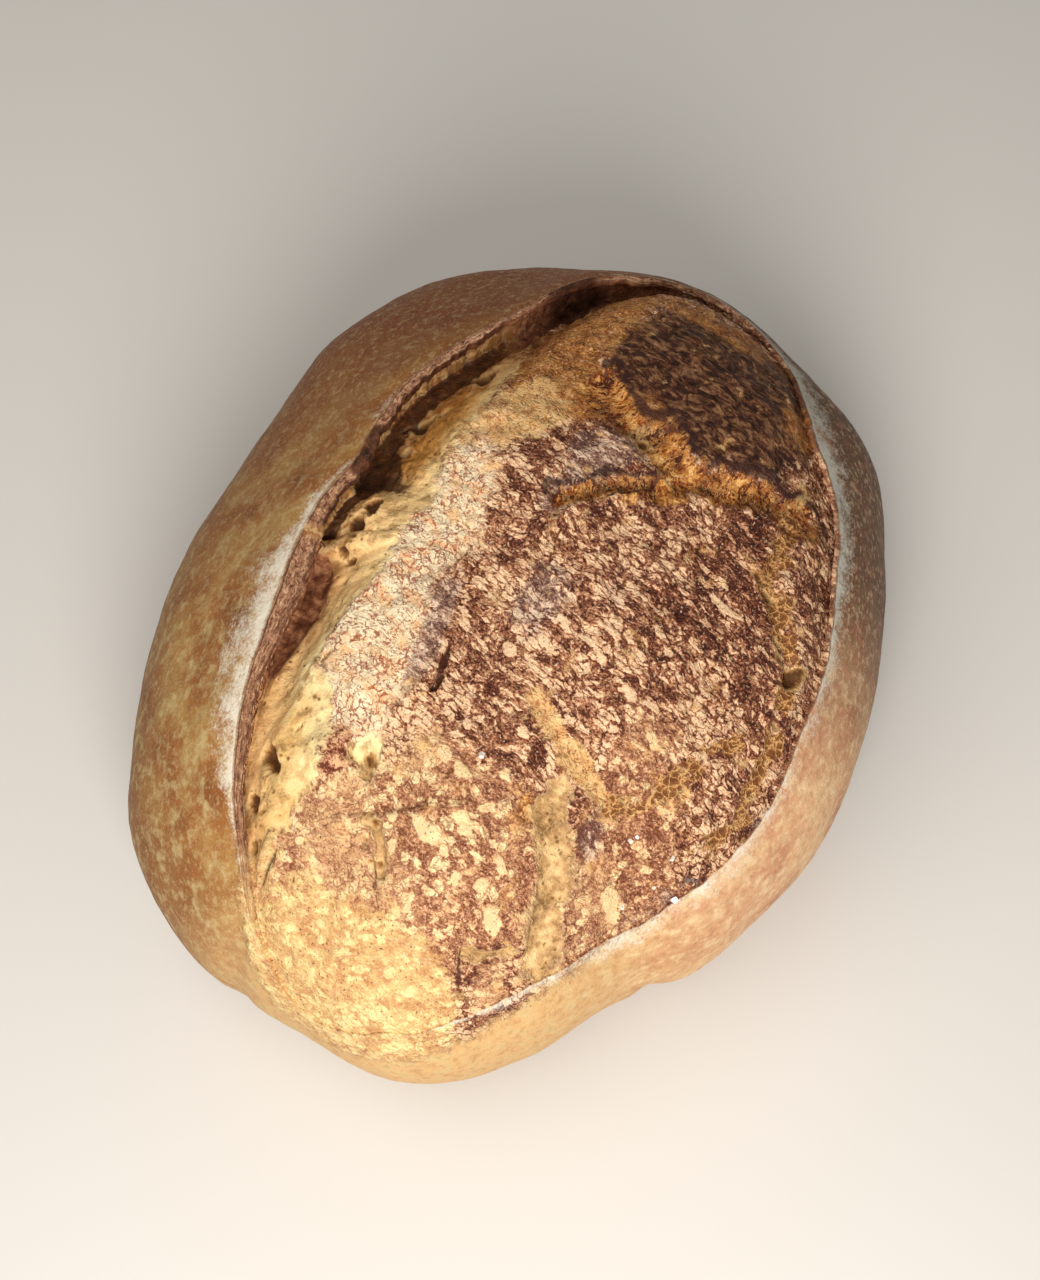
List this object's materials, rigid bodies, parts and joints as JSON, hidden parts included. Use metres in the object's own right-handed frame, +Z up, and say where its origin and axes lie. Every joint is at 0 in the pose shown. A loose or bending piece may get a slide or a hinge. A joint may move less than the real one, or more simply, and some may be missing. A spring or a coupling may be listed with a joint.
{
  "type": "sourdough loaf",
  "caption": "Oval crusty sourdough hearth loaf, flat underneath, whose long cut has burst into a wide rough bloom below a raised ear of smooth crust.",
  "frame": {"origin": "on the flat base, under the middle of the loaf's bounding box", "axes": "+X along the loaf's length, +Y across it towards the side that carries the raised ear, +Z up out of the bloom"},
  "size_m": [0.2494, 0.1988, 0.1146],
  "materials": {
    "crust": "dry baked crust, matt with a faint sheen on the dark bloom"
  },
  "bodies": {
    "root": {"loaf": "crust"}
  },
  "joints": []
}
